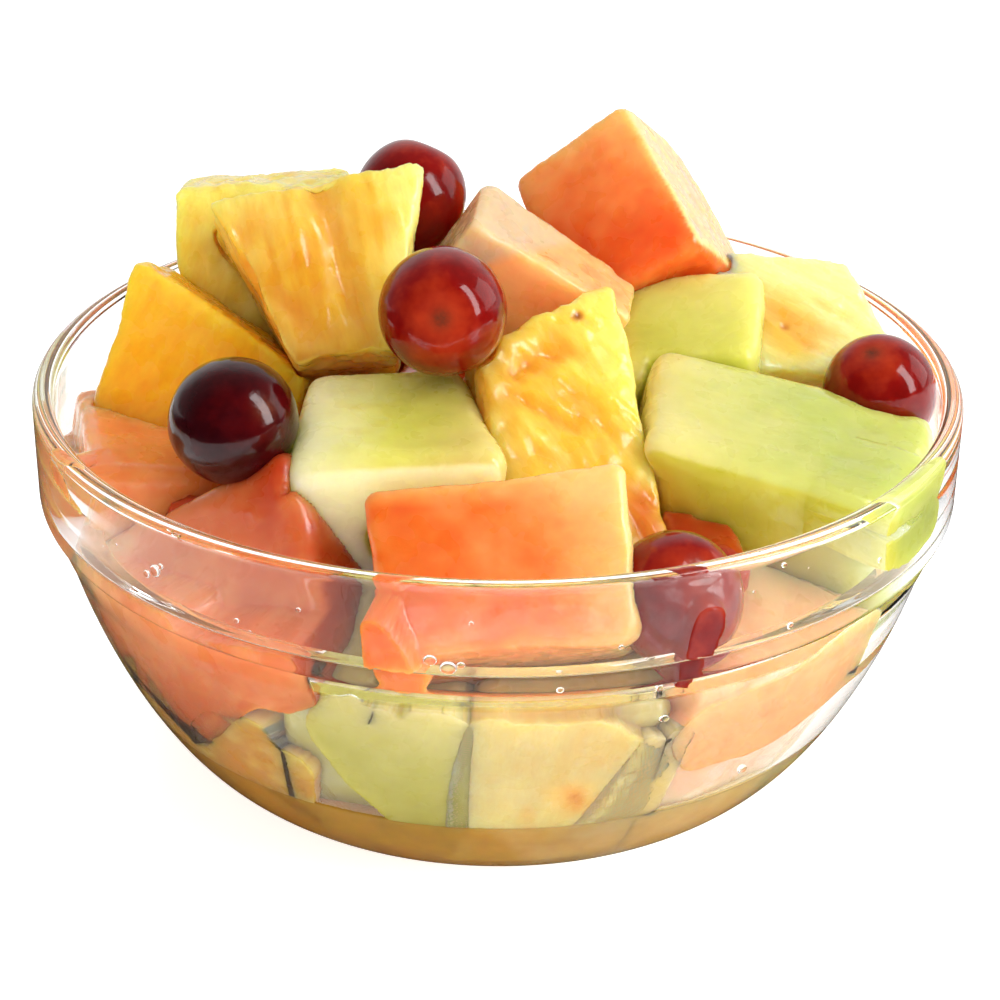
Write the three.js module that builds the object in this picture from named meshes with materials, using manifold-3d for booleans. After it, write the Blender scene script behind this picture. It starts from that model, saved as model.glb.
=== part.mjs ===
// A fruit salad in its clear glass bowl: melon, pineapple and mango blocks with whole red
// grapes, heaped above the rim, and a shallow pool of juice on the bowl's floor.
// Millimetres, +Z up, the origin under the middle of the foot that the bowl stands on.

import * as THREE from 'three';
import { mergeVertices } from 'three/addons/utils/BufferGeometryUtils.js';
import Module from 'manifold-3d';

const wasm = await Module();
wasm.setup();

// The bowl: a wide band round the rim stands out over a rounded body on a small flat foot.
const RIM_RADIUS = 70;
const BOWL_HEIGHT = 61;
const BAND_WALL = 3.2;
const BAND_BOTTOM = 44;
const LEDGE_HEIGHT = 46.5;
const BAND_ROUND = 1.8;
const LEDGE_ROUND = 1.2;
const FOOT_RADIUS = 33;
const FOOT_HEIGHT = 0.7;
const FOOT_EDGE = 1.5;
const FLOOR_HEIGHT = 3.4;
const BOWL_SIDES = 48;
const CAVITY_SIDES = 24;
const OUTER_BODY = { bottomRadius: 44, topRadius: 67.8, bottom: FOOT_HEIGHT, top: BAND_BOTTOM };
const INNER_BODY = { bottomRadius: 43, topRadius: 64.2, bottom: FLOOR_HEIGHT, top: LEDGE_HEIGHT };
const BODY_STEPS = 7;
const BODY_SPREAD = 1.2;
const BODY_RISE = 1.55;
const CORNER_STEPS = 2;

// The fruit keeps this far from the glass and from each other piece.
const GAP = 0.3;
const FLOOR_GAP = 1.4;
const HEAP_TOP = 120;

// The juice on the floor.
const JUICE_LEVEL = 16;

// Cut fruit: a block with rounded edges and uneven corners.
const BLOCK_EDGE = 2;
const BLOCK_UNEVEN = 0.8;
const BLOCK_CELLS = 3;
const BLOCK_CORNERS = 8;
const ON_FACE = 0.9;

// Whole grapes: a little longer than wide, with a dimple where the stem was.
const GRAPE_SIDES = 12;
const GRAPE_RINGS = 8;
const GRAPE_STRETCH = 1.08;
const DIMPLE_DEPTH = 1.1;
const DIMPLE_SPREAD = 0.35;
const CUTTER_SIDES = 10;
const CUTTER_RINGS = 7;
const CUTTER_GROW = 0.8;

// Vertices nearer than this are one vertex.
const MERGE_WITHIN = 1e-4;

// The seeded random numbers' multipliers.
const SEED_SPREAD = 2654435761;
const SCRAMBLE = 0x2c1b3c6d;
const STRIDE = 0x9e3779b9;

const FLESH = {
  cantaloupe: { color: 0xf08a4b, roughness: 0.38 },
  honeydew: { color: 0xd3df8f, roughness: 0.36 },
  pineapple: { color: 0xf3cf5c, roughness: 0.42 },
  mango: { color: 0xf0a62c, roughness: 0.4 },
  grape: { color: 0x8c1414, roughness: 0.12 },
  darkGrape: { color: 0x3a060c, roughness: 0.12 },
};

function flesh(kind) {
  return new THREE.MeshStandardMaterial({ ...FLESH[kind], metalness: 0 });
}

// A closed three.js geometry as a solid, with its shared vertices merged.
function solidOf(geometry) {
  const bare = geometry.clone();
  bare.deleteAttribute('normal');
  bare.deleteAttribute('uv');
  const merged = mergeVertices(bare, MERGE_WITHIN);
  const index = merged.index.array;
  const triangles = [];
  for (let i = 0; i < index.length; i += 3) {
    const [a, b, c] = [index[i], index[i + 1], index[i + 2]];
    if (a !== b && b !== c && c !== a) triangles.push(a, b, c);
  }
  return new wasm.Manifold(new wasm.Mesh({
    numProp: 3,
    vertProperties: new Float32Array(merged.attributes.position.array),
    triVerts: new Uint32Array(triangles),
  }));
}

function geometryOf(solid) {
  const mesh = solid.getMesh();
  const geometry = new THREE.BufferGeometry();
  geometry.setAttribute('position', new THREE.BufferAttribute(mesh.vertProperties, 3));
  geometry.setIndex(new THREE.BufferAttribute(mesh.triVerts, 1));
  geometry.computeVertexNormals();
  return geometry;
}

// Of what a cut leaves, only the largest piece stays.
function largest(solid) {
  const pieces = solid.decompose();
  pieces.sort((a, b) => b.volume() - a.volume());
  return pieces[0];
}

// The bowl's rounded wall, from the foot up to the band, as points of radius and height.
function bodyCurve({ bottomRadius, topRadius, bottom, top }, inset = 0) {
  const points = [];
  for (let i = 0; i <= BODY_STEPS; i += 1) {
    const turn = (i / BODY_STEPS) * (Math.PI / 2);
    const out = Math.sin(turn) ** BODY_SPREAD;
    const up = 1 - Math.cos(turn) ** BODY_RISE;
    points.push(new THREE.Vector2(
      bottomRadius + (topRadius - bottomRadius) * out - inset,
      bottom + (top - bottom) * up,
    ));
  }
  return points;
}

function point(radius, height) {
  return new THREE.Vector2(radius, height);
}

// A profile of radius and height turned round the Z axis.
function turned(profile, sides) {
  return new THREE.LatheGeometry(profile, sides).rotateX(Math.PI / 2);
}

// Part of a circle in the profile, from one angle to another in degrees from straight out.
function arc(middleRadius, middleHeight, radius, from, to, steps) {
  const points = [];
  for (let i = 0; i <= steps; i += 1) {
    const angle = THREE.MathUtils.degToRad(from + ((to - from) * i) / steps);
    points.push(point(middleRadius + radius * Math.cos(angle), middleHeight + radius * Math.sin(angle)));
  }
  return points;
}

function bowlGeometry() {
  const innerRadius = RIM_RADIUS - BAND_WALL;
  const rimRound = BAND_WALL / 2;
  const bandEdge = arc(RIM_RADIUS - BAND_ROUND, BAND_BOTTOM + BAND_ROUND, BAND_ROUND, -90, 0, CORNER_STEPS);
  const rim = arc(RIM_RADIUS - rimRound, BOWL_HEIGHT - rimRound, rimRound, 0, 180, 2 * CORNER_STEPS);
  const ledge = arc(innerRadius - LEDGE_ROUND, LEDGE_HEIGHT + LEDGE_ROUND, LEDGE_ROUND, 0, -90, CORNER_STEPS);
  const foot = [point(0, 0), point(FOOT_RADIUS, 0), point(FOOT_RADIUS + FOOT_EDGE, FOOT_HEIGHT)];
  const inside = [...bodyCurve(INNER_BODY).reverse(), point(0, FLOOR_HEIGHT)];
  return turned([...foot, ...bodyCurve(OUTER_BODY), ...bandEdge, ...rim, ...ledge, ...inside], BOWL_SIDES);
}

// The space that the fruit may fill: the bowl's inside, carried up past the rim.
function cavitySolid(gap, floorGap, top) {
  const innerRadius = RIM_RADIUS - BAND_WALL - gap;
  const wall = bodyCurve(INNER_BODY, gap);
  wall.forEach((corner) => { corner.y += gap; });
  const floor = FLOOR_HEIGHT + floorGap;
  const profile = [point(0, floor)];
  profile.push(...wall.filter((corner) => corner.y > floor && corner.y < top));
  if (top > LEDGE_HEIGHT) {
    profile.push(point(innerRadius, LEDGE_HEIGHT + LEDGE_ROUND + gap));
    profile.push(point(innerRadius, top));
  }
  profile.push(point(0, top));
  return solidOf(turned(profile, CAVITY_SIDES));
}

// Small repeatable random numbers from -1 to 1.
function randomFrom(seed) {
  let state = seed * SEED_SPREAD;
  return () => {
    state = (Math.imul(state ^ (state >>> 15), SCRAMBLE) + STRIDE) | 0;
    return ((state >>> 8) & 0xffff) / 0x7fff - 1;
  };
}

// One coordinate of a block's grid: the start of the rounded edge, or the face itself.
function gridPlace(t, half, edge) {
  return Math.sign(t) * (Math.abs(t) > ON_FACE ? half : half - edge);
}

// Seeded shifts of a block's eight corners, so that no two blocks are cut alike.
function cornerShifts(seed) {
  const random = randomFrom(seed);
  const shift = () => random() * BLOCK_UNEVEN;
  return Array.from({ length: BLOCK_CORNERS }, () => [shift(), shift(), shift()]);
}

// A cut block. taper widens its top against its bottom, wedge makes its right or back taller,
// flare widens its back and deepens its right end, and lean shifts its top sideways, in mm.
// With an edge of 0 it has sharp edges and 12 triangles, as the tool that cuts its neighbours.
function blockGeometry(spec, grow, edge) {
  const { size, taper = [0, 0], wedge = [0, 0], flare = [0, 0], lean = [0, 0] } = spec;
  const half = size.map((length) => length / 2 + grow);
  const shifts = cornerShifts(spec.seed);
  const cells = edge > 0 ? BLOCK_CELLS : 1;
  const geometry = new THREE.BoxGeometry(2, 2, 2, cells, cells, cells);
  const position = geometry.attributes.position;
  for (let i = 0; i < position.count; i += 1) {
    const grid = [position.getX(i), position.getY(i), position.getZ(i)];
    const flat = grid.map((t, axis) => gridPlace(t, half[axis], edge));
    const core = flat.map((c, axis) => Math.sign(c) * Math.min(Math.abs(c), half[axis] - edge));
    const out = flat.map((c, axis) => c - core[axis]);
    const reach = Math.hypot(...out);
    const p = core.map((c, axis) => c + (reach > 0 ? (out[axis] / reach) * edge : 0));
    const [u, v, w] = p.map((c, axis) => c / half[axis]);
    for (let corner = 0; corner < BLOCK_CORNERS; corner += 1) {
      const [right, back, top] = [corner & 1 ? u : -u, corner & 2 ? v : -v, corner & 4 ? w : -w];
      const nearness = ((1 + right) * (1 + back) * (1 + top)) / BLOCK_CORNERS;
      for (let axis = 0; axis < 3; axis += 1) p[axis] += shifts[corner][axis] * nearness;
    }
    position.setXYZ(
      i,
      p[0] * (1 + taper[0] * w) * (1 + flare[0] * v) + (lean[0] / 2) * w,
      p[1] * (1 + taper[1] * w) * (1 + flare[1] * u) + (lean[1] / 2) * w,
      p[2] * (1 + wedge[0] * u + wedge[1] * v),
    );
  }
  return geometry;
}

function grapeGeometry({ radius }, sides, rings) {
  const geometry = new THREE.SphereGeometry(radius, sides, rings);
  geometry.rotateX(Math.PI / 2);
  const position = geometry.attributes.position;
  for (let i = 0; i < position.count; i += 1) {
    const z = position.getZ(i);
    const fromStem = Math.acos(THREE.MathUtils.clamp(z / radius, -1, 1));
    const dimple = DIMPLE_DEPTH * Math.exp(-((fromStem / DIMPLE_SPREAD) ** 2));
    position.setZ(i, z * GRAPE_STRETCH - dimple);
  }
  return geometry;
}

function pieceGeometry(spec) {
  if (spec.radius) return grapeGeometry(spec, GRAPE_SIDES, GRAPE_RINGS);
  return blockGeometry(spec, 0, BLOCK_EDGE);
}

// A slightly larger and plainer copy of a piece, which its neighbours are cut with.
function cutterGeometry(spec) {
  if (!spec.radius) return blockGeometry(spec, GAP, 0);
  return grapeGeometry({ radius: spec.radius + CUTTER_GROW }, CUTTER_SIDES, CUTTER_RINGS);
}

// The turn is given as yaw about Z, then pitch about X, then roll about Y, in degrees.
function placeOf(spec) {
  const [yaw, pitch, roll] = (spec.turn ?? [0, 0, 0]).map(THREE.MathUtils.degToRad);
  const place = new THREE.Object3D();
  place.position.set(...spec.at);
  place.rotation.set(pitch, roll, yaw, 'ZXY');
  place.updateMatrix();
  return place;
}

// What lies under a top piece gives way to it, so the pieces are listed from the top and the
// front of the heap to what lies deeper.
const pieces = [
  { name: 'cantaloupe_top_right', kind: 'cantaloupe', at: [21, 27, 72], turn: [-32, -35, -45],
    size: [22, 25, 27], seed: 1 },
  { name: 'grape_top_front', kind: 'grape', at: [-8, -18, 77], turn: [0, 75, 0], radius: 9.2 },
  { name: 'grape_top_back', kind: 'grape', at: [-14, 18, 81], turn: [20, -20, 30], radius: 8.6 },
  { name: 'grape_left', kind: 'darkGrape', at: [-37, -30, 65], turn: [40, 60, 0], radius: 9 },
  { name: 'grape_right_rim', kind: 'grape', at: [58, -2, 58], turn: [0, 20, -15], radius: 8.6 },
  { name: 'grape_front_glass', kind: 'grape', at: [24, -52, 50], turn: [30, 40, 0], radius: 8.8 },
  { name: 'grape_right_glass', kind: 'grape', at: [52, -5, 27], turn: [0, 40, 60], radius: 8.2 },
  { name: 'grape_back_glass', kind: 'grape', at: [12, 55, 42], turn: [0, 120, 20], radius: 8.6 },
  { name: 'grape_left_glass', kind: 'darkGrape', at: [-49, 26, 35], turn: [0, 100, 50],
    radius: 8.6 },
  { name: 'pineapple_double', kind: 'pineapple', at: [-25, 2, 73], turn: [0, -40, -12],
    size: [24, 18, 28], taper: [0.4, 0], seed: 3 },
  { name: 'pineapple_back_left', kind: 'pineapple', at: [-36, 20, 68], turn: [0, -10, -3],
    size: [26, 18, 28], seed: 4 },
  { name: 'cantaloupe_rind_top', kind: 'cantaloupe', at: [3, 4, 70], turn: [-5, 5, 33],
    size: [28, 14, 20], seed: 5 },
  { name: 'cantaloupe_front', kind: 'cantaloupe', at: [1, -48, 50], turn: [0, -41, -7],
    size: [34, 22, 22], seed: 6 },
  { name: 'pineapple_center', kind: 'pineapple', at: [9, -22, 54], turn: [20, -50, -20],
    size: [25, 18, 38], lean: [17, 0], seed: 7 },
  { name: 'honeydew_center', kind: 'honeydew', at: [-15, -25, 51], turn: [5, 8, 0],
    size: [28, 26, 27], flare: [-0.13, 0], seed: 8 },
  { name: 'honeydew_right', kind: 'honeydew', at: [41, -18, 47], turn: [-10, 8, 10],
    size: [44, 29, 28], flare: [0, 0.08], seed: 9 },
  { name: 'pineapple_right_back', kind: 'pineapple', at: [47, 18, 58], turn: [5, -50, 6],
    size: [24, 20, 20], lean: [-10, 0], seed: 10 },
  { name: 'honeydew_back', kind: 'honeydew', at: [28, 6, 58], turn: [-5, 25, -5],
    size: [25, 22, 20], seed: 11 },
  { name: 'mango_left', kind: 'mango', at: [-43, -2, 58], turn: [-10, -25, 12],
    size: [30, 15, 22], wedge: [-0.45, 0], seed: 12 },
  { name: 'cantaloupe_front_left', kind: 'cantaloupe', at: [-33, -34, 39], turn: [-32, -28, -38],
    size: [31, 24, 27], taper: [0.1, 0], seed: 13 },
  { name: 'cantaloupe_far_left', kind: 'cantaloupe', at: [-53, -14, 40], turn: [15, 0, 10],
    size: [22, 30, 32], seed: 14 },
  { name: 'cantaloupe_right_front', kind: 'cantaloupe', at: [39, -34, 28], turn: [35, 10, 2],
    size: [46, 22, 28], seed: 17 },
  { name: 'honeydew_bottom', kind: 'honeydew', at: [-14, -42, 27], turn: [-15, 20, 5],
    size: [23, 20, 30], seed: 15 },
  { name: 'pineapple_bottom', kind: 'pineapple', at: [7, -42, 25], turn: [8, 20, 0],
    size: [24, 20, 32], lean: [5, 0], seed: 16 },
  { name: 'honeydew_bottom_right', kind: 'honeydew', at: [23, -38, 20], turn: [25, 15, 15],
    size: [28, 22, 26], seed: 18 },
  { name: 'pineapple_bottom_left', kind: 'pineapple', at: [-33, -35, 22], turn: [-40, 25, 20],
    size: [28, 22, 20], seed: 19 },
  { name: 'mango_bottom_left', kind: 'mango', at: [-38, -18, 16], turn: [-60, 25, 0],
    size: [30, 20, 18], seed: 20 },
  { name: 'pineapple_bottom_right', kind: 'pineapple', at: [36, -28, 12], turn: [50, 20, 0],
    size: [30, 20, 16], seed: 21 },
  { name: 'cantaloupe_left_core', kind: 'cantaloupe', at: [-37, -18, 42], turn: [20, 10, 0],
    size: [26, 24, 22], seed: 22 },
  { name: 'cantaloupe_center_core', kind: 'cantaloupe', at: [22, -30, 40], turn: [10, 10, 0],
    size: [24, 24, 24], seed: 23 },
  { name: 'honeydew_back_rim', kind: 'honeydew', at: [3, 40, 49], turn: [5, 20, -10],
    size: [32, 26, 26], seed: 24 },
  { name: 'cantaloupe_back_left', kind: 'cantaloupe', at: [-26, 40, 51], turn: [35, 25, 15],
    size: [32, 24, 28], seed: 25 },
  { name: 'pineapple_back_right', kind: 'pineapple', at: [33, 40, 45], turn: [-35, 20, -10],
    size: [30, 24, 28], seed: 26 },
  { name: 'cantaloupe_right_side', kind: 'cantaloupe', at: [53, 15, 36], turn: [75, 5, 5],
    size: [30, 20, 22], seed: 27 },
  { name: 'honeydew_left_side', kind: 'honeydew', at: [-50, 10, 34], turn: [-80, 15, 5],
    size: [30, 22, 24], seed: 28 },
  { name: 'pineapple_back_low', kind: 'pineapple', at: [-8, 44, 27], turn: [10, -20, 5],
    size: [34, 22, 28], seed: 29 },
  { name: 'cantaloupe_back_low', kind: 'cantaloupe', at: [24, 38, 24], turn: [-35, -20, 0],
    size: [30, 22, 28], seed: 30 },
  { name: 'honeydew_right_low', kind: 'honeydew', at: [42, 14, 21], turn: [-70, -20, 10],
    size: [30, 22, 24], seed: 31 },
  { name: 'cantaloupe_left_low', kind: 'cantaloupe', at: [-36, 22, 20], turn: [50, -20, -5],
    size: [32, 22, 26], seed: 32 },
  { name: 'honeydew_core_front', kind: 'honeydew', at: [-2, -16, 20], turn: [10, 0, 5],
    size: [32, 30, 28], seed: 33 },
  { name: 'cantaloupe_core_back', kind: 'cantaloupe', at: [-4, 16, 22], turn: [-20, 0, 0],
    size: [34, 30, 30], seed: 34 },
  { name: 'cantaloupe_core_top', kind: 'cantaloupe', at: [-14, 8, 48], turn: [30, 5, 5],
    size: [30, 28, 26], seed: 35 },
  { name: 'honeydew_core_right', kind: 'honeydew', at: [20, 8, 42], turn: [15, 10, 0],
    size: [30, 30, 28], seed: 36 },
];

function settle(spec, cavity, neighbours) {
  const place = placeOf(spec);
  const geometry = pieceGeometry(spec).applyMatrix4(place.matrix);
  let solid = cavity.intersect(solidOf(geometry));
  for (const neighbour of neighbours) solid = solid.subtract(neighbour);
  solid = largest(solid);
  const local = geometryOf(solid).applyMatrix4(place.matrix.clone().invert());
  const mesh = new THREE.Mesh(local, flesh(spec.kind));
  mesh.name = spec.name;
  mesh.position.copy(place.position);
  mesh.rotation.copy(place.rotation);
  return mesh;
}

function heap() {
  const group = new THREE.Group();
  const cavity = cavitySolid(GAP, FLOOR_GAP, HEAP_TOP);
  const neighbours = [];
  for (const spec of pieces) {
    group.add(settle(spec, cavity, neighbours));
    neighbours.push(solidOf(cutterGeometry(spec).applyMatrix4(placeOf(spec).matrix)));
  }
  let pool = cavitySolid(GAP, GAP, JUICE_LEVEL);
  for (const neighbour of neighbours) pool = pool.subtract(neighbour);
  const juice = new THREE.Mesh(geometryOf(largest(pool)), new THREE.MeshStandardMaterial({
    color: 0xd9a441,
    roughness: 0.1,
    metalness: 0,
    transparent: true,
    opacity: 0.7,
  }));
  juice.name = 'juice_pool';
  group.add(juice);
  return group;
}

const bowl = new THREE.Mesh(geometryOf(solidOf(bowlGeometry())), new THREE.MeshStandardMaterial({
  color: 0xeef4f2,
  roughness: 0.05,
  metalness: 0,
  transparent: true,
  opacity: 0.3,
}));
bowl.name = 'bowl';

const fruitSalad = new THREE.Group();
fruitSalad.add(bowl, heap());

export default fruitSalad;
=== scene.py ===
# Looks for a fruit salad in its clear glass bowl: wet cut melon, pineapple and mango, glossy grapes,
# a shallow pool of juice. Metres, +Z up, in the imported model's own frame; sizes here are in mm.
import math

import bmesh
import bpy
import numpy as np
from mathutils import Matrix, Vector


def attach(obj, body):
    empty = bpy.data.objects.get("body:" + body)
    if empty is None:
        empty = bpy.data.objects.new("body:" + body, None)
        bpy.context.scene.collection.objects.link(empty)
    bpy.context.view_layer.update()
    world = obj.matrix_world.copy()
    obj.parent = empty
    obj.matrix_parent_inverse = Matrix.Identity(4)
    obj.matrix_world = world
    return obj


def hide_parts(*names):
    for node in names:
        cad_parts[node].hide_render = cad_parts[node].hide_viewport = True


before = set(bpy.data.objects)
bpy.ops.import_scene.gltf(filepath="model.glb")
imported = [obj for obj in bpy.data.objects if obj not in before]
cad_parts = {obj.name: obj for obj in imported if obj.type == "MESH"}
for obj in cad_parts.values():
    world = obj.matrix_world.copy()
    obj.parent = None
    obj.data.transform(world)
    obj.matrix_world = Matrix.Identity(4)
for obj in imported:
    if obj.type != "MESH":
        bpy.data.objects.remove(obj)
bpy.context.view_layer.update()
mm = 0.001
print("frame loaded:", len(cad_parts), "nodes")


# ---- camera, floor and light

view = dict(lens=85, sensor=36, tilt=26.9, roll=0.7, distance=370, target=(0.5, 0, 37.8))


def buildCamera():
    tilt, roll = math.radians(view["tilt"]), math.radians(view["roll"])
    ahead = Vector((0, math.cos(tilt), -math.sin(tilt)))
    across, above = Vector((1, 0, 0)), Vector((0, math.sin(tilt), math.cos(tilt)))
    right = across * math.cos(roll) + above * math.sin(roll)
    up = above * math.cos(roll) - across * math.sin(roll)
    data = bpy.data.cameras.new("camera")
    data.lens, data.sensor_width = view["lens"], view["sensor"]
    data.clip_start, data.clip_end = 0.01, 20
    camera = bpy.data.objects.new("camera", data)
    bpy.context.scene.collection.objects.link(camera)
    place = Vector(view["target"]) * mm - ahead * view["distance"] * mm
    camera.matrix_world = Matrix.Translation(place) @ Matrix((right, up, -ahead)).transposed().to_4x4()
    bpy.context.scene.camera = camera


class Wire:  # a node's output socket that can be added, multiplied and so on
    def __init__(self, recipe, socket):
        self.recipe, self.socket = recipe, socket

    def maths(self, operation, first, second=0.0):
        return self.recipe.node("ShaderNodeMath", dict(operation=operation), {0: first, 1: second})

    def __add__(self, other):
        return self.maths("ADD", self, other)

    def __radd__(self, other):
        return self.maths("ADD", other, self)

    def __sub__(self, other):
        return self.maths("SUBTRACT", self, other)

    def __rsub__(self, other):
        return self.maths("SUBTRACT", other, self)

    def __mul__(self, other):
        return self.maths("MULTIPLY", self, other)

    def __rmul__(self, other):
        return self.maths("MULTIPLY", other, self)

    def __pow__(self, other):
        return self.maths("POWER", self, other)

    def held(self):  # kept between 0 and 1
        return self.recipe.node("ShaderNodeClamp", {}, {0: self})


class Recipe:  # the nodes of one material, world or geometry tree
    def __init__(self, owner):
        self.owner, self.tree = owner, owner
        if not isinstance(owner, bpy.types.NodeTree):
            owner.use_nodes = True
            self.tree = owner.node_tree
        self.tree.nodes.clear()

    def node(self, kind, settings={}, inputs={}, output=0):
        made = self.tree.nodes.new(kind)
        for name, value in settings.items():
            if name == "stops":
                self.setStops(made.color_ramp, value)
            else:
                setattr(made, name, value)
        for name, value in inputs.items():
            if isinstance(value, Wire):
                self.tree.links.new(value.socket, made.inputs[name])
            else:
                made.inputs[name].default_value = value
        return Wire(self, made.outputs[output])

    def setStops(self, ramp, stops):
        while len(ramp.elements) < len(stops):
            ramp.elements.new(1)
        for element, (place, colour) in zip(ramp.elements, stops):
            element.position, element.color = place, colour

    def noise(self, where, size, detail=2, roughness=0.5):  # size in mm, where in metres
        return self.node("ShaderNodeTexNoise", {}, {
            "Vector": where, "Scale": 1 / (size * mm), "Detail": detail, "Roughness": roughness})

    def rayIs(self, kind):
        return self.node("ShaderNodeLightPath", output="Is " + kind + " Ray")

    def mirrored(self):  # 1 for what shows in a reflection, and 0 for what shows through glass
        return self.rayIs("Glossy") * (1 - self.rayIs("Transmission"))

    def given(self):  # a geometry tree's own inputs, by name
        group = self.tree.nodes.new("NodeGroupInput")
        return {socket.name: Wire(self, socket) for socket in group.outputs if socket.name}

    def finish(self, surface):
        kind = "World" if isinstance(self.owner, bpy.types.World) else "Material"
        end = self.tree.nodes.new("ShaderNodeOutput" + kind)
        self.tree.links.new(surface.socket, end.inputs["Surface"])
        return self.owner


def linear(values):  # screen colours of 0 to 255 as Blender's own linear ones
    share = np.asarray(values, float) / 255
    return np.where(share <= 0.04045, share / 12.92, ((share + 0.055) / 1.055) ** 2.4)


def tint(*colour):
    return (*(float(part) for part in linear(colour)), 1)


studio = dict(
    ambient=0.53,
    seen=((0.3, 0.72), (0.45, 0.9), (0.55, 1.0)),  # what glass and camera see, from front to back
    mirrored=((0.35, 0.03), (0.5, 0.12), (0.72, 0.25), (0.9, 0.9)),  # what shows in gloss
    key=dict(towards=(0.7, -0.3, 0.48), distance=700, size=(190, 640), power=3.4, inGloss=True),
    right=dict(towards=(0.9, 0.25, 0.35), distance=700, size=(420, 420), power=0.9, inGloss=True),
    top=dict(towards=(0.1, 0.1, 0.98), distance=800, size=(700, 700), power=1.35, inGloss=False),
    front=dict(towards=(-0.05, -0.85, 0.5), distance=800, size=(500, 500), power=2.0, inGloss=False),
    floor=dict(colour=(246, 246, 246), glow=0.6, roughness=0.25,
               mirrored=(48, 48, 48), mirroredBehind=0.8, behindFrom=120, behindSpan=200),
)


def buildLight(name, look):
    data = bpy.data.lights.new(name, "AREA")
    data.shape = "RECTANGLE"
    data.size, data.size_y = look["size"][0] * mm, look["size"][1] * mm
    data.energy = look["power"]
    lamp = bpy.data.objects.new(name, data)
    lamp.visible_glossy = look["inGloss"]
    bpy.context.scene.collection.objects.link(lamp)
    towards = Vector(look["towards"]).normalized()
    lamp.location = Vector((0, 0, 40 * mm)) + towards * look["distance"] * mm
    lamp.rotation_euler = towards.to_track_quat("Z", "Y").to_euler()


def buildWorld():  # bright for glass, dim in gloss, even and soft for what it lights
    world = bpy.data.worlds.new("studio")
    bpy.context.scene.world = world
    recipe = Recipe(world)
    towards = recipe.node("ShaderNodeTexCoord", output="Generated")
    depth = recipe.node("ShaderNodeSeparateXYZ", {}, {0: towards}, "Y") * 0.5 + 0.5
    shader = recipe.node("ShaderNodeBackground", {}, {"Color": (1, 1, 1, 1), "Strength": studio["ambient"]})
    straight = recipe.rayIs("Camera") + recipe.rayIs("Transmission")
    for factor, greys in ((straight.held(), studio["seen"]), (recipe.mirrored(), studio["mirrored"])):
        stops = [(at, (grey, grey, grey, 1)) for at, grey in greys]
        colour = recipe.node("ShaderNodeValToRGB", dict(stops=stops), {"Fac": depth})
        light = recipe.node("ShaderNodeBackground", {}, {"Color": colour, "Strength": 1.0})
        shader = recipe.node("ShaderNodeMixShader", {}, {0: factor, 1: shader, 2: light})
    recipe.finish(shader)


def buildFloor():  # pale paper, which shows dark in the gloss near the bowl and bright behind it
    look = studio["floor"]
    mesh = bpy.data.meshes.new("floor")
    mesh.from_pydata([(-3, -3, 0), (3, -3, 0), (3, 3, 0), (-3, 3, 0)], [], [(0, 1, 2, 3)])
    floor = bpy.data.objects.new("floor", mesh)
    bpy.context.scene.collection.objects.link(floor)
    recipe = Recipe(bpy.data.materials.new("palePaper"))
    paper = recipe.node("ShaderNodeBsdfPrincipled", {}, {
        "Base Color": tint(*look["colour"]), "Roughness": look["roughness"], "Specular IOR Level": 0.4,
        "Emission Color": (1, 1, 1, 1), "Emission Strength": look["glow"]})
    dim = recipe.node("ShaderNodeBsdfDiffuse", {}, {"Color": tint(*look["mirrored"])})
    where = recipe.node("ShaderNodeTexCoord", output="Object")
    away = recipe.node("ShaderNodeSeparateXYZ", {}, {0: where}, "Y") - look["behindFrom"] * mm
    behind = (away * (1 / (look["behindSpan"] * mm))).held()
    bright = recipe.node("ShaderNodeEmission", {}, {
        "Color": (1, 1, 1, 1), "Strength": look["mirroredBehind"]})
    dim = recipe.node("ShaderNodeMixShader", {}, {0: behind, 1: dim, 2: bright})
    mesh.materials.append(recipe.finish(recipe.node("ShaderNodeMixShader", {}, {
        0: recipe.mirrored(), 1: paper, 2: dim})))


def buildStudio():
    buildWorld()
    buildFloor()
    for name in ("key", "right", "top", "front"):
        buildLight(name + "Box", studio[name])
    bpy.context.scene.view_settings.view_transform = "Standard"
    cycles = bpy.context.scene.cycles
    cycles.use_denoising = True
    cycles.max_bounces, cycles.glossy_bounces, cycles.transmission_bounces = 16, 8, 12
    cycles.diffuse_bounces = 2
    cycles.caustics_reflective = cycles.caustics_refractive = False


buildCamera()
buildStudio()
print("camera and studio ready")


# ---- helpers for the pieces

def addObject(name, mesh):
    thing = bpy.data.objects.new(name, mesh)
    bpy.context.scene.collection.objects.link(thing)
    return thing


def plainMesh(thing):  # bakes an object's modifiers into its mesh
    evaluated = thing.evaluated_get(bpy.context.evaluated_depsgraph_get())
    mesh = bpy.data.meshes.new_from_object(evaluated)
    thing.modifiers.clear()
    thing.data = mesh


def dress(thing, node, material):
    thing.data.materials.clear()
    thing.data.materials.append(material)
    thing.data.shade_smooth()
    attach(thing, "root")
    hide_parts(node)


def readPoints(mesh):  # vertex places in mm, and normals
    places = np.empty(len(mesh.vertices) * 3)
    mesh.vertices.foreach_get("co", places)
    normals = np.empty(len(mesh.vertices) * 3)
    mesh.vertex_normals.foreach_get("vector", normals)
    return places.reshape(-1, 3) / mm, normals.reshape(-1, 3)


def writePoints(mesh, points):
    mesh.vertices.foreach_set("co", (points * mm).ravel())
    mesh.update()


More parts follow.
